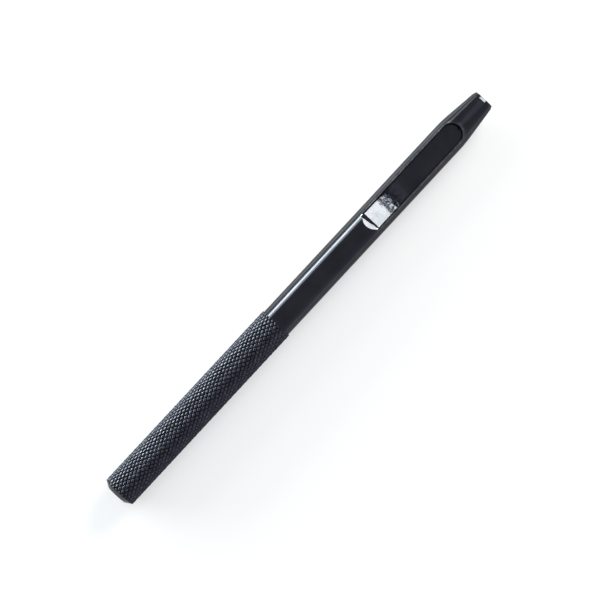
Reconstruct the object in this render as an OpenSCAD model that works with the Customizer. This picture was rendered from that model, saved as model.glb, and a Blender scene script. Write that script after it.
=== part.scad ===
// Oval hole punch: a knurled handle brazed onto the spigot of a plain shank, which ends in an oval cutting tip.
// The tool lies along X: struck face at the origin, cutting edge towards +X, slug window facing up (+Z).

/* [Overall] */
// Length from the struck face to the cutting edge
overall_length = 108.2; // [100:0.1:125]

/* [Handle] */
// Length of the handle, from the struck face to its front shoulder
handle_length = 47; // [35:0.1:55]
// Diameter over the crests of the knurl
handle_diameter = 7.2; // [7.1:0.05:9]
// Diameter of the flat struck face
struck_face_diameter = 4.6; // [3:0.1:6]
// Length of the chamfer round the struck face
butt_chamfer_length = 0.75; // [0.3:0.05:2]
// Length of the plain band between the chamfer and the knurl
butt_band_length = 0.45; // [0.2:0.05:3]

/* [Knurl] */
// Depth of the knurl, from crest to root
knurl_depth = 0.3; // [0.1:0.05:0.6]
// Distance between neighbouring grooves, square to them
knurl_pitch = 0.76; // [0.6:0.02:1.6]
// Angle between the grooves and the axis of the tool
knurl_angle = 31; // [25:1:45]
// Length over which the grooves run out at each end of the knurl
knurl_runout = 0.45; // [0.2:0.05:1.5]

/* [Shank] */
// Diameter of the plain shank
shank_diameter = 6.7; // [6:0.05:7]
// Height by which the handle's front shoulder stands proud of the shank
shoulder_height = 0.08; // [0.02:0.01:0.2]

/* [Spigot] */
// Diameter of the shank's rear spigot
spigot_diameter = 4.2; // [3:0.1:5]
// Length of the spigot
spigot_length = 14; // [6:0.5:25]
// Chamfer at the rear end of the spigot
spigot_chamfer = 0.4; // [0.1:0.05:0.8]
// Gap for the braze all round the spigot
braze_gap = 0.03; // [0.01:0.01:0.1]
// Free depth of the socket behind the spigot
socket_end_gap = 0.5; // [0.2:0.1:3]

/* [Slug window] */
// Length of the window along the shank
window_length = 27.5; // [15:0.1:40]
// Room in the window on each side of a slug
window_clearance = 0.15; // [0.12:0.01:0.4]
// Distance from the front end of the window to the cutting edge
window_to_edge = 7.3; // [5:0.1:12]
// Drop from the slug passage to the window's floor
floor_step = 0.05; // [0.02:0.01:0.3]
// Slope of the ramp that turns the slugs out of the window
ramp_angle = 33; // [20:1:50]
// Depth of the ledge between the end bevel and the ramp, below the window's rim
ledge_depth = 0.1; // [0.05:0.01:0.5]
// Length of that ledge
ledge_length = 0.25; // [0.1:0.05:1]

/* [Cutting tip] */
// Longer inside measure of the oval hole, across the tool
hole_length = 4; // [3.2:0.1:4.8]
// Shorter inside measure of the oval hole
hole_width = 3; // [2:0.1:3.6]
// Length of the straight land behind the cutting edge
land_length = 4; // [2:0.1:6]
// Amount by which the slug passage behind the land is wider, on each side
relief = 0.1; // [0.05:0.01:0.12]
// Length of the tapered nose, cutting edge included
nose_length = 9.1; // [7.6:0.1:20]
// Length of the final bevel at the cutting edge
edge_bevel_length = 0.85; // [0.3:0.05:2]
// Wall of the nose where the final bevel starts
bevel_wall = 0.38; // [0.15:0.01:0.6]
// Thickness left at the cutting edge
edge_wall = 0.1; // [0.03:0.01:0.14]

/* [Hidden] */
$fn = 96;
hull_fn = 64;
sliver = 0.01;
nose_root = 0.2;
blackened_steel = [0.15, 0.15, 0.17];

handle_radius = handle_diameter / 2;
shank_radius = shank_diameter / 2;
shoulder_radius = shank_radius + shoulder_height;
socket_radius = spigot_diameter / 2 + braze_gap;
socket_depth = spigot_length + socket_end_gap;

// The knurl is a net of rings: crests and roots alternate along each ring, and swap places on the next ring
knurl_root_radius = handle_radius - knurl_depth;
knurl_starts = round(PI * handle_diameter * cos(knurl_angle) / knurl_pitch);
knurl_columns = 2 * knurl_starts;
knurl_first_ring = butt_chamfer_length + butt_band_length + knurl_runout;
knurl_last_ring = handle_length - knurl_runout;
knurl_steps = round(2 * (knurl_last_ring - knurl_first_ring) * sin(knurl_angle) / knurl_pitch);
knurl_step = (knurl_last_ring - knurl_first_ring) / knurl_steps;

// The window runs back from its round front end to the foot of the ramp, up the ramp, and over the end bevel
window_half = hole_length / 2 + window_clearance;
window_front = overall_length - window_to_edge;
window_rear = window_front - window_length;
floor_depth = hole_width / 2 + relief + floor_step;
rim_height = sqrt(pow(shank_radius, 2) - pow(window_half, 2));
ledge_height = rim_height - ledge_depth;
ledge_start = window_rear + (shank_radius - ledge_height) / tan(ramp_angle);
ramp_start = ledge_start + ledge_length;
ramp_foot = ramp_start + (ledge_height + floor_depth) / tan(ramp_angle);
above_shank = shank_radius + 1;
bevel_top = window_rear - (above_shank - shank_radius) / tan(ramp_angle);

nose_start = overall_length - nose_length;
bevel_start = overall_length - edge_bevel_length;
land_start = overall_length - land_length;

// Stands a shape that was drawn along Z on the axis of the tool, with its foot at x
module along_axis(x) {
    translate([x, 0, 0]) rotate([0, 90, 0]) children();
}

// Outline of the oval hole, grown by a wall on all sides: two half circles joined by straight flanks
module oval(wall) {
    end_radius = hole_width / 2 + wall;
    end_offset = (hole_length - hole_width) / 2;
    square([2 * end_radius, 2 * end_offset], center = true);
    for (side = [-1, 1])
        translate([0, side * end_offset]) circle(end_radius);
}

function knurl_radius(ring, column) = (ring + column) % 2 == 1 ? handle_radius : knurl_root_radius;

function ring_points(x, radii) = [
    for (column = [0 : knurl_columns - 1])
        let (turn = 360 * column / knurl_columns)
            [x, radii[column] * cos(turn), radii[column] * sin(turn)]
];

function plain_ring(x, radius) = ring_points(x, [for (column = [1 : knurl_columns]) radius]);

// Two triangles between neighbouring rings, split along the groove that joins their two roots
function knurl_cell(ring, column) =
    let (
        next = (column + 1) % knurl_columns,
        a = ring * knurl_columns + column,
        b = ring * knurl_columns + next,
        c = b + knurl_columns,
        d = a + knurl_columns
    )
    (ring + column) % 2 == 1 ? [[a, c, b], [a, d, c]] : [[a, d, b], [b, d, c]];

// Diamond knurl as one closed solid, with plain rings where the grooves run out
module knurl_body() {
    rings = concat(
        [plain_ring(knurl_first_ring - knurl_runout, knurl_root_radius)],
        [
            for (ring = [0 : knurl_steps])
                ring_points(
                    knurl_first_ring + ring * knurl_step,
                    [for (column = [0 : knurl_columns - 1]) knurl_radius(ring, column)]
                )
        ],
        [plain_ring(handle_length, shoulder_radius)]
    );
    ring_count = len(rings);
    cells = [
        for (ring = [0 : ring_count - 2])
            for (column = [0 : knurl_columns - 1])
                each knurl_cell(ring, column)
    ];
    butt_end = [for (column = [0 : knurl_columns - 1]) column];
    front_end = [
        for (column = [knurl_columns - 1 : -1 : 0])
            (ring_count - 1) * knurl_columns + column
    ];
    polyhedron(points = [for (ring = rings) each ring], faces = concat(cells, [butt_end, front_end]));
}

// Plain end of the handle: the struck face, its chamfer and the band behind the knurl
module butt() {
    along_axis(0) cylinder(h = butt_chamfer_length, d1 = struck_face_diameter, r2 = shoulder_radius);
    along_axis(butt_chamfer_length) cylinder(h = butt_band_length, r = shoulder_radius);
}

module knurled_handle() {
    color(blackened_steel) difference() {
        union() {
            butt();
            knurl_body();
        }
        along_axis(handle_length - socket_depth) cylinder(h = socket_depth + sliver, r = socket_radius);
    }
}

// Rear spigot with a lead-in chamfer, which the handle's socket takes
module spigot() {
    spigot_start = handle_length - spigot_length;
    spigot_radius = spigot_diameter / 2;
    along_axis(spigot_start)
        cylinder(h = spigot_chamfer, r1 = spigot_radius - spigot_chamfer, r2 = spigot_radius);
    along_axis(spigot_start + spigot_chamfer)
        cylinder(h = spigot_length - spigot_chamfer, r = spigot_radius);
}

// Thin slice of the nose with an oval outline, ending at x
module oval_slice(x, wall) {
    along_axis(x - sliver) linear_extrude(sliver) oval(wall, $fn = hull_fn);
}

// Nose that goes over from the round shank to the oval edge, then the final bevel
module nose() {
    hull() {
        along_axis(nose_start - nose_root) cylinder(h = nose_root, r = shank_radius - sliver, $fn = hull_fn);
        oval_slice(bevel_start, bevel_wall);
    }
    hull() {
        oval_slice(bevel_start, bevel_wall);
        oval_slice(overall_length, edge_wall);
    }
}

// Slug window: straight walls, a flat floor, a round front end, and the ramp, ledge and bevel at the rear
module window_cut() {
    front_centre = window_front - window_half;
    rotate([90, 0, 0]) linear_extrude(2 * window_half, center = true) polygon([
        [ledge_start, ledge_height],
        [ramp_start, ledge_height],
        [ramp_foot, -floor_depth],
        [front_centre, -floor_depth],
        [front_centre, above_shank],
        [bevel_top, above_shank]
    ]);
    translate([front_centre, 0, -floor_depth]) cylinder(h = floor_depth + above_shank, r = window_half);
}

// Oval hole from the cutting edge back to the window, a little wider behind the land
module slug_passage() {
    passage_start = window_front - window_half;
    along_axis(passage_start) linear_extrude(land_start - passage_start) oval(relief);
    along_axis(land_start - sliver) linear_extrude(land_length + 2 * sliver) oval(0);
}

module punch_shank() {
    color(blackened_steel) difference() {
        union() {
            spigot();
            along_axis(handle_length) cylinder(h = nose_start - handle_length, r = shank_radius);
            nose();
        }
        window_cut();
        slug_passage();
    }
}

knurled_handle();
punch_shank();
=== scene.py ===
import math

import bmesh
import bpy
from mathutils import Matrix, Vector, noise
from mathutils.kdtree import KDTree


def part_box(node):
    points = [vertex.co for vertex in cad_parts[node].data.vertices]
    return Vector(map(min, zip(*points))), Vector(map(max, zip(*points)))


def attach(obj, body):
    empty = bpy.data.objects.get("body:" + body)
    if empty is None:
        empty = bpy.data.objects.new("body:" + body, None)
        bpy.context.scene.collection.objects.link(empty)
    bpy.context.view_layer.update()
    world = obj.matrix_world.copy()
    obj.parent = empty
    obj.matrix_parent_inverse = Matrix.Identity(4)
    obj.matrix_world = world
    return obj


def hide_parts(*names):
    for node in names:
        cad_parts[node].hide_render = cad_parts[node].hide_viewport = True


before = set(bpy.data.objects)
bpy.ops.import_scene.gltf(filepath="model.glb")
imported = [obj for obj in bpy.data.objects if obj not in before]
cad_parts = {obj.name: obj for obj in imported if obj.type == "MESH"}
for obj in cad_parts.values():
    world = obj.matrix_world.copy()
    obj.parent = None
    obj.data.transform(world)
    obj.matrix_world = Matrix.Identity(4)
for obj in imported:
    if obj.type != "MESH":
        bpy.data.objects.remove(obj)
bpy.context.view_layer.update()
MM = 0.001

# Knurled handle: the round steel bar that is held in the hand and struck. A diamond knurl is rolled in, the
# struck end is chamfered on the lathe, and the shank's spigot is brazed into the drilled front end. It is
# blackened and oiled: the knurl's crests lose a little black, and the turned end holds more oil.

handle_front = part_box("knurled_handle")[1].x
crest_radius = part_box("knurled_handle")[1].z
tooth_depth = 0.19 * MM
root_radius = crest_radius - tooth_depth
shoulder_radius = 3.43 * MM
struck_face_radius = 2.3 * MM
chamfer_length = 0.75 * MM
butt_rounding = 0.12 * MM
socket_radius = 2.13 * MM
socket_depth = 14.5 * MM
weld_distance = 0.002 * MM

# The knurl is two sets of grooves that cross, with the same number of starts in each set
groove_pitch = 0.76 * MM
groove_angle = math.radians(31)
butt_run_out = 0.12 * MM
front_run_out = 0.1 * MM
starts = round(2 * math.pi * crest_radius * math.cos(groove_angle) / groove_pitch)
columns = 2 * starts
column_turn = 2 * math.pi / columns
first_ring = chamfer_length + butt_run_out
last_ring = handle_front - front_run_out
ring_steps = round(2 * (last_ring - first_ring) * math.sin(groove_angle) / groove_pitch)
ring_step = (last_ring - first_ring) / ring_steps

# Rings of one tooth from its root to its flat crest: (share of the diamond, share of the depth)
tooth_rings = ((1.0, 0.0), (0.8, 0.45), (0.5, 0.82), (0.15, 1.0))


def tooth_object(name, plain_side=0):
    """One diamond of the knurl about x = 0, or half of one that runs out to a plain ring on that side."""
    bm = bmesh.new()
    edge = bm.verts.layers.float.new("edge")
    made = {}

    def point(along, around, radius, height):
        key = (along, around)
        if key not in made:
            turn = around * column_turn
            made[key] = bm.verts.new((along, radius * math.cos(turn), radius * math.sin(turn)))
            made[key][edge] = height
        return made[key]

    def corner(along, around, ring):
        share, height = ring
        radius = root_radius + height * (crest_radius - root_radius)
        return point(along * share * ring_step, around * share, radius, height)

    def plain(around):
        run_out = -butt_run_out if plain_side < 0 else front_run_out
        return point(run_out, around, shoulder_radius, 0.0)

    crest = tooth_rings[-1]
    for along in (-1, 1):
        for around in (-1, 1):
            if along == plain_side:
                foot, low, *high = (corner(0, around, ring) for ring in tooth_rings)
                bm.faces.new((plain(around), foot, low))
                bm.faces.new((plain(around), low, high[0], plain(0)))
                for lower, upper in zip(high, high[1:]):
                    bm.faces.new((plain(0), lower, upper))
                continue
            for outer, inner in zip(tooth_rings, tooth_rings[1:]):
                bm.faces.new((
                    corner(along, 0, outer),
                    corner(0, around, outer),
                    corner(0, around, inner),
                    corner(along, 0, inner),
                ))
    if plain_side:
        bm.faces.new((plain(0), corner(0, -1, crest), corner(0, 1, crest)))
        bm.faces.new((corner(-plain_side, 0, crest), corner(0, 1, crest), corner(0, -1, crest)))
    else:
        crest_corners = ((1, 0), (0, 1), (-1, 0), (0, -1))
        bm.faces.new([corner(along, around, crest) for along, around in crest_corners])
    return mesh_object(name, bm)


def mesh_object(name, bm):
    """A new object in the scene that holds the bmesh."""
    mesh = bpy.data.meshes.new(name)
    bm.to_mesh(mesh)
    bm.free()
    made = bpy.data.objects.new(name, mesh)
    bpy.context.scene.collection.objects.link(made)
    return made


def rounded(path, radius, steps=4):
    """Points (x, y, edge) of a path whose inner corners are arcs, with edge at 1 on the arcs."""
    points = [(*path[0], 0.0)]
    for before, corner, after in zip(path, path[1:], path[2:]):
        corner = Vector(corner)
        back = (Vector(before) - corner).normalized()
        ahead = (Vector(after) - corner).normalized()
        half_angle = back.angle(ahead) / 2
        reach = radius / math.tan(half_angle)
        centre = corner + (back + ahead).normalized() * radius / math.sin(half_angle)
        start = (corner + back * reach - centre).normalized()
        end = (corner + ahead * reach - centre).normalized()
        for step in range(steps + 1):
            points.append((*(centre + start.slerp(end, step / steps) * radius), 1.0))
    return [*points, (*path[-1], 0.0)]


def lathe(bm, profile, edge):
    """Turns a profile of (x, radius, edge) about the X axis, in the knurl's columns. Radius 0 is a pole."""
    previous = None
    for x, radius, wear in profile:
        count = columns if radius > 0 else 1
        ring = []
        for column in range(count):
            turn = column * column_turn
            vert = bm.verts.new((x, radius * math.cos(turn), radius * math.sin(turn)))
            vert[edge] = wear
            ring.append(vert)
        if previous:
            for column in range(columns):
                ahead = (column + 1) % columns
                # At a pole two of the corners are the same vertex, which the face takes once
                corners = [
                    previous[column % len(previous)],
                    previous[ahead % len(previous)],
                    ring[ahead % count],
                    ring[column % count],
                ]
                bm.faces.new(list(dict.fromkeys(corners)))
        previous = ring


plain_ends = bmesh.new()
end_edge = plain_ends.verts.layers.float.new("edge")
butt = [
    (0, struck_face_radius / 2),
    (0, struck_face_radius),
    (chamfer_length, shoulder_radius),
]
socket_end = [
    (handle_front, shoulder_radius, 0),
    (handle_front, socket_radius, 0),
    (handle_front - socket_depth, socket_radius, 0),
    (handle_front - socket_depth, 0, 0),
]
lathe(plain_ends, [(0, 0, 0), *rounded(butt, butt_rounding)], end_edge)
lathe(plain_ends, socket_end, end_edge)
handle = mesh_object("knurled_handle_looks", plain_ends)


def add(tree, kind, links=None, **settings):
    """A new node with its settings, and its inputs set to values or linked to sockets."""
    node = tree.nodes.new(kind)
    for name, value in settings.items():
        setattr(node, name, value)
    for name, value in (links or {}).items():
        if isinstance(value, bpy.types.NodeSocket):
            tree.links.new(value, node.inputs[name])
        else:
            node.inputs[name].default_value = value
    return node


def calculate(tree, operation, *values):
    """The result of a math node."""
    return add(tree, "ShaderNodeMath", dict(enumerate(values)), operation=operation).outputs[0]


def knurl_tree():
    """Sets teeth on the knurl's rings, and welds them to the plain ends that the object already has."""
    tree = bpy.data.node_groups.new("knurl", "GeometryNodeTree")
    inputs = {
        "Plain ends": "Geometry",
        "Tooth": "Object",
        "Butt tooth": "Object",
        "Front tooth": "Object",
        "Starts": "Int",
        "Ring steps": "Int",
        "First ring": "Float",
        "Ring step": "Float",
        "Weld distance": "Float",
        "Finish": "Material",
    }
    for name, kind in inputs.items():
        tree.interface.new_socket(name, in_out="INPUT", socket_type="NodeSocket" + kind)
    tree.interface.new_socket("Handle", in_out="OUTPUT", socket_type="NodeSocketGeometry")
    sizes = tree.nodes.new("NodeGroupInput").outputs
    joined = add(tree, "GeometryNodeJoinGeometry")
    tree.links.new(sizes["Plain ends"], joined.inputs[0])

    def rows(tooth, first, count):
        """Rings of teeth from the first on, each turned by half a tooth against the one before it."""
        index = add(tree, "GeometryNodeInputIndex").outputs[0]
        middle = calculate(tree, "ADD", index, 0.5)
        row = calculate(tree, "FLOOR", calculate(tree, "DIVIDE", middle, sizes["Starts"]))
        place = calculate(tree, "SUBTRACT", index, calculate(tree, "MULTIPLY", row, sizes["Starts"]))
        ring = calculate(tree, "ADD", row, first)
        from_first = calculate(tree, "MULTIPLY", ring, sizes["Ring step"])
        x = calculate(tree, "ADD", sizes["First ring"], from_first)
        offset = calculate(tree, "FLOORED_MODULO", calculate(tree, "ADD", ring, 1), 2)
        column = calculate(tree, "ADD", calculate(tree, "MULTIPLY", place, 2), offset)
        turn = calculate(tree, "DIVIDE", calculate(tree, "MULTIPLY", column, math.pi), sizes["Starts"])
        points = add(tree, "GeometryNodePoints", {
            "Count": calculate(tree, "MULTIPLY", count, sizes["Starts"]),
            "Position": add(tree, "ShaderNodeCombineXYZ", {"X": x}).outputs[0],
        })
        shape = add(tree, "GeometryNodeObjectInfo", {"Object": tooth})
        euler = add(tree, "ShaderNodeCombineXYZ", {"X": turn}).outputs[0]
        placed = add(tree, "GeometryNodeInstanceOnPoints", {
            "Points": points.outputs[0],
            "Instance": shape.outputs["Geometry"],
            "Rotation": add(tree, "FunctionNodeEulerToRotation", {0: euler}).outputs[0],
        })
        tree.links.new(placed.outputs[0], joined.inputs[0])

    rows(sizes["Tooth"], 1, calculate(tree, "SUBTRACT", sizes["Ring steps"], 1))
    rows(sizes["Butt tooth"], 0, 1)
    rows(sizes["Front tooth"], sizes["Ring steps"], 1)
    real = add(tree, "GeometryNodeRealizeInstances", {0: joined.outputs[0]})
    welded = add(tree, "GeometryNodeMergeByDistance", {
        "Geometry": real.outputs[0],
        "Distance": sizes["Weld distance"],
    })
    finished = add(tree, "GeometryNodeSetMaterial", {
        "Geometry": welded.outputs[0],
        "Material": sizes["Finish"],
    })
    tree.links.new(finished.outputs[0], tree.nodes.new("NodeGroupOutput").inputs[0])
    return tree


def node_group(name, inputs, outputs):
    """An empty shader node group with its named sockets, as (group, input sockets, output sockets)."""
    group = bpy.data.node_groups.new(name, "ShaderNodeTree")
    for socket, (kind, value) in inputs.items():
        group.interface.new_socket(socket, in_out="INPUT", socket_type=kind).default_value = value
    for socket, kind in outputs.items():
        group.interface.new_socket(socket, in_out="OUTPUT", socket_type=kind)
    return group, group.nodes.new("NodeGroupInput").outputs, group.nodes.new("NodeGroupOutput").inputs


def mixed_colour(tree, share, first, second):
    """The result of a colour mix, which is the first colour at share 0 and the second at share 1."""
    sockets = {"Factor": share, 6: first, 7: second}
    return add(tree, "ShaderNodeMix", sockets, data_type="RGBA").outputs[2]


FLOAT = "NodeSocketFloat"
COLOUR = "NodeSocketColor"
VECTOR = "NodeSocketVector"


def black_oxide_group():
    """Clouds of a paler tint in the black of the salt bath, and patches that the oil makes smoother."""
    group, inputs, outputs = node_group(
        "black_oxide",
        {
            "Black": (COLOUR, (0.03, 0.03, 0.035, 1)),
            "Tint": (COLOUR, (0.05, 0.05, 0.07, 1)),
            "Cloud scale": (FLOAT, 300.0),
            "Dry roughness": (FLOAT, 0.32),
            "Oily roughness": (FLOAT, 0.22),
        },
        {"Color": COLOUR, "Roughness": FLOAT},
    )
    place = add(group, "ShaderNodeTexCoord").outputs["Object"]
    clouds = add(group, "ShaderNodeTexNoise", {
        "Vector": place,
        "Scale": inputs["Cloud scale"],
        "Detail": 5.0,
    })
    contrast = add(group, "ShaderNodeMapRange", {
        "Value": clouds.outputs[0],
        "From Min": 0.35,
        "From Max": 0.65,
    })
    colour = mixed_colour(group, contrast.outputs[0], inputs["Black"], inputs["Tint"])
    group.links.new(colour, outputs["Color"])
    patches_per_cloud = 2.7
    patch_scale = calculate(group, "MULTIPLY", inputs["Cloud scale"], patches_per_cloud)
    patches = add(group, "ShaderNodeTexNoise", {"Vector": place, "Scale": patch_scale, "Detail": 3.0})
    roughness = add(group, "ShaderNodeMapRange", {
        "Value": patches.outputs[0],
        "From Min": 0.3,
        "From Max": 0.7,
        "To Min": inputs["Oily roughness"],
        "To Max": inputs["Dry roughness"],
    })
    group.links.new(roughness.outputs[0], outputs["Roughness"])
    return group


def worn_edge_group():
    """Where the black has rubbed off: the edge mask, broken up by noise."""
    group, inputs, outputs = node_group(
        "worn_edge",
        {
            "Edge": (FLOAT, 0.0),
            "Break-up scale": (FLOAT, 2000.0),
            "Black below": (FLOAT, 0.35),
            "Bare above": (FLOAT, 0.75),
            "Amount": (FLOAT, 0.3),
        },
        {"Mask": FLOAT},
    )
    place = add(group, "ShaderNodeTexCoord").outputs["Object"]
    speckle = add(group, "ShaderNodeTexNoise", {
        "Vector": place,
        "Scale": inputs["Break-up scale"],
        "Detail": 3.0,
    })
    broken = add(group, "ShaderNodeMapRange", {
        "Value": speckle.outputs[0],
        "From Min": inputs["Black below"],
        "From Max": inputs["Bare above"],
    })
    edge_falloff = 3.0
    sharp = calculate(group, "POWER", inputs["Edge"], edge_falloff)
    rubbed = calculate(group, "MULTIPLY", sharp, broken.outputs[0])
    group.links.new(calculate(group, "MULTIPLY", rubbed, inputs["Amount"]), outputs["Mask"])
    return group


def fine_lines_group():
    """Height of the fine lines that turning and polishing leave, stretched by the scale on each axis."""
    group, inputs, outputs = node_group(
        "fine_lines",
        {"Scale": (VECTOR, (4000.0, 200.0, 200.0)), "Unevenness": (FLOAT, 0.5)},
        {"Height": FLOAT},
    )
    place = add(group, "ShaderNodeTexCoord").outputs["Object"]
    stretched = add(group, "ShaderNodeVectorMath", {0: place, 1: inputs["Scale"]}, operation="MULTIPLY")
    lines = add(group, "ShaderNodeTexNoise", {
        "Vector": stretched.outputs[0],
        "Scale": 1.0,
        "Detail": 4.0,
    })
    waves = add(group, "ShaderNodeTexNoise", {"Vector": place, "Scale": 1300.0, "Detail": 2.0})
    height = calculate(group, "MULTIPLY_ADD", waves.outputs[0], inputs["Unevenness"], lines.outputs[0])
    group.links.new(height, outputs["Height"])
    return group


black_oxide = black_oxide_group()
worn_edge = worn_edge_group()
fine_lines = fine_lines_group()


def blackened_steel(name, glancing, oxide, wear, lines, line_height):
    """Steel under black oxide and a clear film of oil, whose weight each material links for itself."""
    material = bpy.data.materials.new(name)
    material.use_nodes = True
    tree = material.node_tree
    sockets = tree.nodes["Principled BSDF"].inputs
    sockets["Metallic"].default_value = 1.0
    sockets["Specular Tint"].default_value = (glancing, glancing, glancing, 1)
    sockets["Coat Roughness"].default_value = 0.06
    coating = add(tree, "ShaderNodeGroup", node_tree=black_oxide)
    rubbed = add(tree, "ShaderNodeGroup", node_tree=worn_edge)
    marks = add(tree, "ShaderNodeGroup", node_tree=fine_lines)
    for group, values in ((coating, oxide), (rubbed, wear), (marks, lines)):
        for socket, value in values.items():
            group.inputs[socket].default_value = value
    edge = add(tree, "ShaderNodeAttribute", attribute_name="edge").outputs["Fac"]
    tree.links.new(edge, rubbed.inputs["Edge"])
    bare_steel = (0.42, 0.41, 0.42, 1)
    colour = mixed_colour(tree, rubbed.outputs["Mask"], coating.outputs["Color"], bare_steel)
    bump = add(tree, "ShaderNodeBump", {
        "Height": marks.outputs["Height"],
        "Distance": line_height,
        "Strength": 1.0,
    })
    tree.links.new(colour, sockets["Base Color"])
    tree.links.new(coating.outputs["Roughness"], sockets["Roughness"])
    tree.links.new(bump.outputs[0], sockets["Normal"])
    return material


handle_steel = blackened_steel(
    "knurled_black_steel",
    glancing=0.06,
    oxide={
        "Black": (0.029, 0.0315, 0.043, 1),
        "Tint": (0.04, 0.043, 0.06, 1),
        "Cloud scale": 400.0,
        "Dry roughness": 0.36,
        "Oily roughness": 0.24,
    },
    wear={"Break-up scale": 2500.0, "Amount": 0.35},
    lines={"Scale": (3000.0, 3000.0, 3000.0), "Unevenness": 0.5},
    line_height=0.002 * MM,
)
handle_tree = handle_steel.node_tree
handle_sockets = handle_tree.nodes["Principled BSDF"].inputs

# The butt is turned smooth up to the end of its chamfer, and the oil lies thicker there than on the knurl
knurl_oil = 0.1
turned_oil = 0.8
turned_smoothing = 0.6
handle_place = add(handle_tree, "ShaderNodeTexCoord").outputs["Object"]
from_butt = add(handle_tree, "ShaderNodeSeparateXYZ", {0: handle_place}).outputs["X"]
turned = calculate(handle_tree, "LESS_THAN", from_butt, chamfer_length)
handle_oil = calculate(handle_tree, "MULTIPLY_ADD", turned, turned_oil - knurl_oil, knurl_oil)
handle_tree.links.new(handle_oil, handle_sockets["Coat Weight"])
knurl_roughness = handle_sockets["Roughness"].links[0].from_socket
rough_share = calculate(handle_tree, "MULTIPLY_ADD", turned, -turned_smoothing, 1.0)
handle_roughness = calculate(handle_tree, "MULTIPLY", knurl_roughness, rough_share)
handle_tree.links.new(handle_roughness, handle_sockets["Roughness"])

teeth = {
    "Tooth": tooth_object("tooth"),
    "Butt tooth": tooth_object("butt_tooth", -1),
    "Front tooth": tooth_object("front_tooth", 1),
}
knurl_values = {
    **teeth,
    "Starts": starts,
    "Ring steps": ring_steps,
    "First ring": first_ring,
    "Ring step": ring_step,
    "Weld distance": weld_distance,
    "Finish": handle_steel,
}
knurl = handle.modifiers.new("knurl", "NODES")
knurl.node_group = knurl_tree()
for socket in knurl.node_group.interface.items_tree:
    if socket.name in knurl_values:
        knurl[socket.identifier] = knurl_values[socket.name]


def settle(piece):
    """Turns what a piece's modifiers make into its plain mesh, and removes them."""
    bpy.context.view_layer.update()
    depsgraph = bpy.context.evaluated_depsgraph_get()
    piece.data = bpy.data.meshes.new_from_object(piece.evaluated_get(depsgraph), depsgraph=depsgraph)
    piece.modifiers.clear()


def shade(piece, sharp_angle):
    """Dissolves slivers, points faces outwards, and shades smooth but for edges sharper than the angle."""
    bm = bmesh.new()
    bm.from_mesh(piece.data)
    bmesh.ops.dissolve_degenerate(bm, edges=bm.edges, dist=weld_distance)
    bmesh.ops.recalc_face_normals(bm, faces=bm.faces)
    bm.to_mesh(piece.data)
    bm.free()
    piece.data.polygons.foreach_set("use_smooth", [True] * len(piece.data.polygons))
    piece.data.set_sharp_from_angle(angle=math.radians(sharp_angle))


settle(handle)
for tooth in teeth.values():
    bpy.data.objects.remove(tooth)
shade(handle, sharp_angle=30)
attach(handle, "root")
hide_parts("knurled_handle")

# Punch shank: a turned and polished steel bar. The slug window is milled into its side, the nose is tapered
# from round to oval, and the oval hole is broached in from the tip, whose last bevel is ground to a cutting
# edge. Its rear spigot is brazed into the handle. Blackened and oiled as the handle is, and glossier.

shank_start = handle_front
tool_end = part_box("punch_shank")[1].x
shank_radius = 3.35 * MM
spigot_radius = 2.1 * MM
spigot_length = 14 * MM
spigot_chamfer = 0.4 * MM

hole_half_width = 1.5 * MM
hole_offset = 0.5 * MM
edge_wall = 0.1 * MM
bevel_wall = 0.38 * MM
bevel_length = 0.66 * MM
bevel_bulge = 0.15
land_length = 4 * MM
relief = 0.1 * MM
nose_length = 9.1 * MM
nose_blend = 3.0 * MM
flank_softness = 0.01

window_half = 2.19 * MM
window_length = 27.35 * MM
window_to_tip = 7.45 * MM
window_front = tool_end - window_to_tip
window_centre = window_front - window_half
window_rear = window_front - window_length
floor_height = -1.65 * MM
ledge_height = 2.5 * MM
ledge_length = 0.3 * MM
ledge_skew = 0.66 * MM
ledge_waver = 0.1 * MM
waver_length = 0.5 * MM
least_step = 0.02 * MM
ramp_slope = math.tan(math.radians(33))
ramp_foot = window_rear + (shank_radius - floor_height) / ramp_slope + ledge_length
ramp_foot_radius = 12 * MM
rim_chamfer = 0.2 * MM
slot_corner = 0.25 * MM

bevel_start = tool_end - bevel_length
nose_start = tool_end - nose_length
blend_start = nose_start - nose_blend / 2
skin_columns = 288
shank_steps = 34
nose_steps = 28
bevel_steps = 4


def skin(x):
    """(end radius, end offset) of the outline at x: a round shank, softly blended into an oval nose."""
    late = x - blend_start
    if late <= 0:
        along = 0
    elif late < nose_blend:
        along = late * late / (2 * nose_blend)
    else:
        along = x - nose_start
    share = along / (bevel_start - nose_start)
    if share <= 1:
        bevel_radius = hole_half_width + bevel_wall
        return shank_radius + share * (bevel_radius - shank_radius), share * hole_offset
    over = (x - bevel_start) / bevel_length
    ground = (1 - bevel_bulge) * over + bevel_bulge * over * over
    return hole_half_width + bevel_wall + ground * (edge_wall - bevel_wall), hole_offset


def spread(start, end, count):
    """Evenly spaced values from start to end."""
    return [start + (end - start) * step / count for step in range(count + 1)]


def outline_ring(bm, x, end_radius, end_offset):
    """A ring of vertices with an oval outline at x, two half circles joined by straight flanks."""
    ring = []
    for column in range(skin_columns):
        turn = 2 * math.pi * (column + 0.5) / skin_columns
        across = math.cos(turn)
        side = across / math.sqrt(across * across + flank_softness)
        ring.append(bm.verts.new((x, end_offset * side + end_radius * across, end_radius * math.sin(turn))))
    return ring


def close_over(bm, loops):
    """Faces from each loop of vertices to the next, and one face over each end."""
    for loop, ahead in zip(loops, loops[1:]):
        for corner in range(len(loop)):
            beside = (corner + 1) % len(loop)
            bm.faces.new((loop[corner], loop[beside], ahead[beside], ahead[corner]))
    bm.faces.new(loops[0])
    bm.faces.new(loops[-1])


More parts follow.
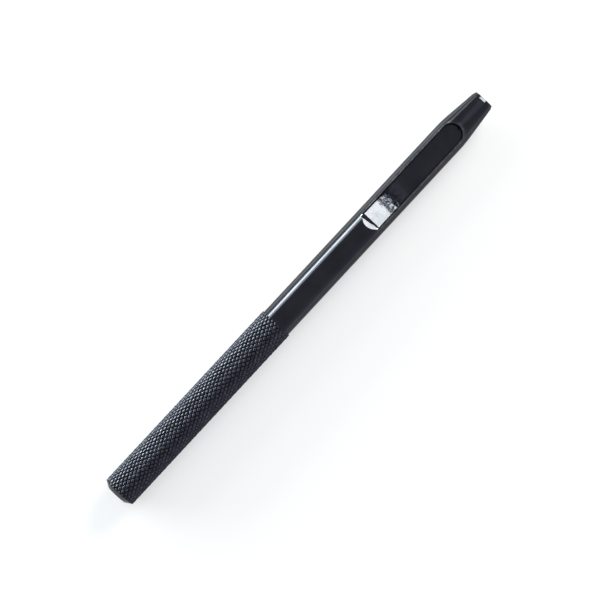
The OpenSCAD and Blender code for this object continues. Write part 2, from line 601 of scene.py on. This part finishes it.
shank_rows = spread(shank_start, blend_start, shank_steps)[:-1]
nose_rows = spread(blend_start, bevel_start, nose_steps)
bevel_rows = spread(bevel_start, tool_end, bevel_steps)[1:]
spigot_end = shank_start - spigot_length
passage_end = window_centre
land_start = tool_end - land_length
sections = [
    (spigot_end, spigot_radius - spigot_chamfer, 0),
    (spigot_end + spigot_chamfer, spigot_radius, 0),
    (shank_start, spigot_radius, 0),
    *((x, *skin(x)) for x in shank_rows + nose_rows + bevel_rows),
    (tool_end, hole_half_width, hole_offset),
    (land_start, hole_half_width, hole_offset),
    (land_start, hole_half_width + relief, hole_offset),
    (passage_end, hole_half_width + relief, hole_offset),
]
body = bmesh.new()
close_over(body, [outline_ring(body, *section) for section in sections])
bmesh.ops.recalc_face_normals(body, faces=body.faces)
shank = mesh_object("punch_shank_looks", body)


def window_cutter():
    """What the mill takes out: the end bevel, the ledge, the ramp with its hollow foot, and the floor."""
    clear_height = 1 * MM
    past_ledge = 1 * MM
    cutter_weld = 0.001 * MM
    hollow_steps = 24
    front_steps = 32
    corner_steps = 5
    floor_steps = 16
    top = shank_radius + clear_height
    bevel_run = (top - ledge_height) / ramp_slope
    ledge_start = window_rear + (shank_radius - ledge_height) / ramp_slope
    ramp_start = ledge_start + ledge_length
    hollow = rounded(
        [(ramp_start, ledge_height), (ramp_foot, floor_height), (window_centre, floor_height)],
        ramp_foot_radius,
        hollow_steps,
    )

    # Stations are (x, height, half width). Station 1 is the bevel's lower edge, which lies a small step
    # above the ledge's rear edge, station 2
    bevel_end = 1
    stations = [(ledge_start - bevel_run, top, window_half)]
    stations += [(x, ledge_height, window_half) for x in (ledge_start, ledge_start, ramp_start)]
    stations.append((ramp_start + past_ledge, ledge_height - past_ledge * ramp_slope, window_half))
    stations += [(x, height, window_half) for x, height, _ in hollow[1:]]
    for turn in spread(0, math.pi / 2, front_steps)[1:]:
        x = window_centre + window_half * math.sin(turn)
        stations.append((x, floor_height, window_half * math.cos(turn)))

    bm = bmesh.new()
    loops = []
    for index, (x, height, half) in enumerate(stations):
        corner_radius = min(slot_corner, half, top - height)
        flat = half - corner_radius
        arc = []
        for turn in spread(0, math.pi / 2, corner_steps):
            across = flat + corner_radius * math.cos(turn)
            arc.append((across, height + corner_radius - corner_radius * math.sin(turn)))
        wall = [(half, top), *arc]
        section = wall + [(across, height) for across in spread(flat, -flat, floor_steps)[1:-1]]
        section += [(-across, level) for across, level in reversed(wall)]
        loop = []
        for across, level in section:
            shift = 0
            if height == ledge_height:
                shift = ledge_waver * noise.noise((across / waver_length, x / MM, 0))
            if x == ledge_start:
                early = ledge_skew * (0.5 + 0.5 * across / half)
                shift = min(shift - early, -least_step)
            step = -shift * ramp_slope if index == bevel_end else 0
            loop.append(bm.verts.new((x + shift, across, level + step)))
        loops.append(loop)
    close_over(bm, loops)
    bmesh.ops.remove_doubles(bm, verts=bm.verts, dist=cutter_weld)
    bmesh.ops.recalc_face_normals(bm, faces=bm.faces)
    return mesh_object("window_cutter", bm)


def skin_height(x, y):
    """Height of the skin above the axis at a place in plan."""
    end_radius, end_offset = skin(x)
    across = max(abs(y) - end_offset, 0)
    return math.sqrt(max(end_radius ** 2 - across ** 2, 0))


# Rim of the window in plan, as (x, y, outward x, outward y), from one rear corner to the other
rim_side_steps = 40
rim_front_steps = 64
rim_rear = window_rear + (shank_radius - skin_height(window_rear, window_half)) / ramp_slope
rim = [(x, -window_half, 0, -1) for x in spread(rim_rear, window_centre, rim_side_steps)]
for turn in spread(-math.pi / 2, math.pi / 2, rim_front_steps)[1:-1]:
    out = Vector((math.cos(turn), math.sin(turn)))
    rim.append((window_centre + window_half * out.x, window_half * out.y, out.x, out.y))
rim += [(x, window_half, 0, 1) for x in spread(window_centre, rim_rear, rim_side_steps)]
rim_points = [Vector((x, y, skin_height(x, y))) for x, y, _, _ in rim]


def rim_cutter():
    """A three-cornered bar along the rim, which takes off its sharp edge."""
    probe = 0.05 * MM
    overhang = 0.4
    up = Vector((0, 0, 1))
    bm = bmesh.new()
    loops = []
    for (x, y, out_x, out_y), foot in zip(rim, rim_points):
        beyond = skin_height(x + out_x * probe, y + out_y * probe)
        over = Vector((out_x * probe, out_y * probe, beyond - foot.z)).normalized()
        outer = foot + over * rim_chamfer
        inner = foot - up * rim_chamfer
        reach = (outer - inner) * overhang
        apex = foot + (up - over) * rim_chamfer
        loops.append([bm.verts.new(corner) for corner in (outer + reach, inner - reach, apex)])
    close_over(bm, loops)
    bmesh.ops.recalc_face_normals(bm, faces=bm.faces)
    return mesh_object("rim_cutter", bm)


for cutter in (window_cutter(), rim_cutter()):
    cut = shank.modifiers.new(cutter.name, "BOOLEAN")
    cut.object = cutter
    cut.solver = "EXACT"
    settle(shank)
    bpy.data.objects.remove(cutter)

shank_steel = blackened_steel(
    "smooth_black_steel",
    glancing=0.42,
    oxide={
        "Black": (0.028, 0.0295, 0.036, 1),
        "Tint": (0.039, 0.0375, 0.047, 1),
        "Cloud scale": 220.0,
        "Dry roughness": 0.18,
        "Oily roughness": 0.11,
    },
    wear={"Break-up scale": 900.0, "Black below": 0.3, "Bare above": 0.75, "Amount": 0.6},
    lines={"Scale": (6000.0, 250.0, 250.0), "Unevenness": 0.6},
    line_height=0.0008 * MM,
)
shank_tree = shank_steel.node_tree
shank_sockets = shank_tree.nodes["Principled BSDF"].inputs
milled = add(shank_tree, "ShaderNodeAttribute", attribute_name="milled").outputs["Fac"]

# The milled faces of the window have coarser marks than the turned bar
marks_share = 16.0
cutter_marks = add(shank_tree, "ShaderNodeGroup", node_tree=fine_lines)
cutter_marks.inputs["Scale"].default_value = (3000.0, 4200.0, 3000.0)
cutter_marks.inputs["Unevenness"].default_value = 5.0
rough_marks = calculate(shank_tree, "MULTIPLY", cutter_marks.outputs["Height"], marks_share)
marks_height = shank_tree.nodes["Bump"].inputs["Height"]
turned_marks = marks_height.links[0].from_socket
height = add(shank_tree, "ShaderNodeMix", {"Factor": milled, 2: turned_marks, 3: rough_marks})
shank_tree.links.new(height.outputs[0], marks_height)

# Round the ramp's hollow foot, dark blotches are painted into the colour: painted shade that dims and
# breaks up the lamp's reflection there. The coat is thinner in the same blotches
shank_oil = 0.25
painted_shade_colour = (0.002, 0.004, 0.008, 1)
painted_shade_falloff = 3.0
shank_place = add(shank_tree, "ShaderNodeTexCoord").outputs["Object"]
blotches = add(shank_tree, "ShaderNodeTexNoise", {"Vector": shank_place, "Scale": 1800.0, "Detail": 3.0})
shade_patches = add(shank_tree, "ShaderNodeMapRange", {
    "Value": blotches.outputs[0],
    "From Min": 0.42,
    "From Max": 0.54,
})
near_foot = calculate(shank_tree, "POWER", milled, painted_shade_falloff)
painted_shade = calculate(shank_tree, "MULTIPLY", shade_patches.outputs[0], near_foot)
oil_left = calculate(shank_tree, "MULTIPLY_ADD", painted_shade, -shank_oil, shank_oil)
shank_tree.links.new(oil_left, shank_sockets["Coat Weight"])
clean_colour = shank_sockets["Base Color"].links[0].from_socket
# The painted shade darkens the base colour in the blotches
shank_tree.links.new(mixed_colour(shank_tree, painted_shade, clean_colour, painted_shade_colour), shank_sockets["Base Color"])
shank.data.materials.clear()
shank.data.materials.append(shank_steel)

# Milled faces: the value is 1 at the ramp's hollow foot, and falls to the least towards the window's ends
slack = 0.01 * MM
below_skin = 0.12 * MM
hollow_setback = 1.45 * MM
hollow_middle = ramp_foot - hollow_setback
reach_back = 2.4 * MM
reach_ahead = 5.0 * MM
least_milled = 0.4
milled_layer = shank.data.attributes.new("milled", "FLOAT", "FACE")
for face, value in zip(shank.data.polygons, milled_layer.data):
    x, y, z = face.center
    in_window = window_rear < x < window_front and abs(y) < window_half + slack
    if in_window and z < skin_height(x, y) - below_skin:
        reach = reach_ahead if x > hollow_middle else reach_back
        near_hollow = max(1 - abs(x - hollow_middle) / reach, 0)
        value.value = least_milled + (1 - least_milled) * near_hollow

# Rubbed edges: the value is 1 on the cutting edge and the window's rim, and falls to 0 away from the rim
rim_reach = 1.2 * MM
rim_depth = 1.5 * rim_chamfer
near_rim = KDTree(len(rim_points))
for index, rim_point in enumerate(rim_points):
    near_rim.insert(rim_point, index)
near_rim.balance()
edge_layer = shank.data.attributes.new("edge", "FLOAT", "POINT")
for vert, value in zip(shank.data.vertices, edge_layer.data):
    x, y, z = vert.co
    _, _, distance = near_rim.find(vert.co)
    if x > tool_end - slack:
        value.value = 1.0
    elif z >= skin_height(x, y) - rim_depth:
        value.value = max(1 - distance / rim_reach, 0)
shade(shank, sharp_angle=25)
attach(shank, "root")
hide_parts("punch_shank")

# Studio: a white floor that keeps the shadow, a long strip light on the tool's far side with a dimmer one
# over it, a short strip beside the nose, two soft boxes beyond the tip, a panel that lights the floor
# beside the window, and a dim dome with a brighter patch.

floor_half = 3.0
floor_glow = 0.53
floor_mesh = bmesh.new()
bmesh.ops.create_grid(floor_mesh, x_segments=1, y_segments=1, size=floor_half)
bmesh.ops.translate(floor_mesh, verts=floor_mesh.verts, vec=(0, 0, -crest_radius))
floor = mesh_object("floor", floor_mesh)
floor_paper = bpy.data.materials.new("floor_paper")
floor_paper.use_nodes = True
paper = floor_paper.node_tree
paper_sockets = paper.nodes["Principled BSDF"].inputs
paper_sockets["Base Color"].default_value = (0.45, 0.45, 0.45, 1)
paper_sockets["Roughness"].default_value = 0.9
paper_sockets["Specular IOR Level"].default_value = 0.0
paper_sockets["Emission Color"].default_value = (1, 1, 1, 1)
rays = add(paper, "ShaderNodeLightPath").outputs
mirrored = calculate(paper, "ADD", rays["Is Glossy Ray"], rays["Is Transmission Ray"])
seen = calculate(paper, "ADD", rays["Is Camera Ray"], mirrored)
glow = calculate(paper, "MULTIPLY", calculate(paper, "MINIMUM", seen, 1.0), floor_glow)
paper.links.new(glow, paper_sockets["Emission Strength"])
floor.data.materials.append(floor_paper)


def soft_box(name, target, azimuth, elevation, distance, width, height, radiance, colour):
    """An area light that faces the target, at an azimuth in degrees from +X towards +Y."""
    power_per_area = 4
    light = bpy.data.lights.new(name, "AREA")
    light.shape = "RECTANGLE"
    light.size = width
    light.size_y = height
    light.energy = power_per_area * width * height * radiance
    light.color = colour
    lamp = bpy.data.objects.new(name, light)
    bpy.context.scene.collection.objects.link(lamp)
    level = math.cos(math.radians(elevation))
    toward = Vector((
        level * math.cos(math.radians(azimuth)),
        level * math.sin(math.radians(azimuth)),
        math.sin(math.radians(elevation)),
    ))
    lamp.location = Vector(target) + toward * distance
    lamp.rotation_euler = toward.to_track_quat("Z", "Y").to_euler()
    lamp.visible_camera = False


cool_white = (0.9, 1.0, 0.95)
pale_green = (0.96, 1.0, 0.9)
soft_box(
    "side_strip",
    target=(-0.12, 0, 0),
    azimuth=90,
    elevation=12,
    distance=0.46,
    width=0.56,
    height=0.12,
    radiance=17.0,
    colour=cool_white,
)
soft_box(
    "side_fade",
    target=(-0.12, 0, 0),
    azimuth=90,
    elevation=26.5,
    distance=0.46,
    width=0.56,
    height=0.08,
    radiance=4.0,
    colour=cool_white,
)
soft_box(
    "nose_strip",
    target=(0.26, 0, 0),
    azimuth=90,
    elevation=14,
    distance=0.46,
    width=0.18,
    height=0.08,
    radiance=2.6,
    colour=cool_white,
)
soft_box(
    "ramp_box",
    target=(0.077, 0, 0),
    azimuth=10,
    elevation=22,
    distance=0.48,
    width=0.28,
    height=0.084,
    radiance=16.0,
    colour=pale_green,
)
soft_box(
    "tip_box",
    target=(0.1, 0, 0),
    azimuth=10,
    elevation=41,
    distance=0.5,
    width=0.2,
    height=0.09,
    radiance=14.0,
    colour=pale_green,
)
soft_box(
    "floor_panel",
    target=(0.082, 0.0135, -0.0235),
    azimuth=90,
    elevation=90,
    distance=0.02,
    width=0.07,
    height=0.01,
    radiance=3.8,
    colour=cool_white,
)

dome_strength = 0.46
low_glow = 0.3
low_falloff = 3.0
patch_elevation = math.radians(70)
patch_strength = 0.45
patch_sharpness = 60.0
world = bpy.data.worlds.new("dim_dome")
bpy.context.scene.world = world
world.use_nodes = True
dome = world.node_tree
direction = add(dome, "ShaderNodeTexCoord").outputs["Generated"]
rise = add(dome, "ShaderNodeSeparateXYZ", {0: direction}).outputs["Z"]
lowness = add(dome, "ShaderNodeMapRange", {"Value": rise, "To Min": 1.0, "To Max": 0.0}).outputs[0]
low_share = calculate(dome, "POWER", lowness, low_falloff)
fade = calculate(dome, "MULTIPLY_ADD", low_share, low_glow, dome_strength)
patch_middle = (math.cos(patch_elevation), 0, math.sin(patch_elevation))
alignment = add(dome, "ShaderNodeVectorMath", {0: direction, 1: patch_middle}, operation="DOT_PRODUCT")
facing = calculate(dome, "MAXIMUM", alignment.outputs["Value"], 0.0)
patch = calculate(dome, "POWER", facing, patch_sharpness)
strength = calculate(dome, "MULTIPLY_ADD", patch, patch_strength, fade)
dome.links.new(strength, dome.nodes["Background"].inputs["Strength"])
dome.nodes["Background"].inputs["Color"].default_value = (0.94, 0.95, 1.08, 1)

# Camera: straight above, turned so that the tool points to the upper right. Its frame is the photograph's
# square, whose pixels are 0.2 mm wide on the tool.

photo_pixels = 598
pixel_size = 0.2004 * MM
frame_width = photo_pixels * pixel_size
frame_middle = (53.637 * MM, -0.05 * MM)
camera_height = 0.75
tool_angle = math.radians(47.13)
camera_data = bpy.data.cameras.new("camera")
camera_data.sensor_width = 36
camera_data.lens = camera_data.sensor_width * camera_height / frame_width
camera = bpy.data.objects.new("camera", camera_data)
bpy.context.scene.collection.objects.link(camera)
camera.location = (*frame_middle, camera_height)
camera.rotation_euler = (0, 0, -tool_angle)
bpy.context.scene.camera = camera
bpy.context.scene.view_settings.view_transform = "Standard"
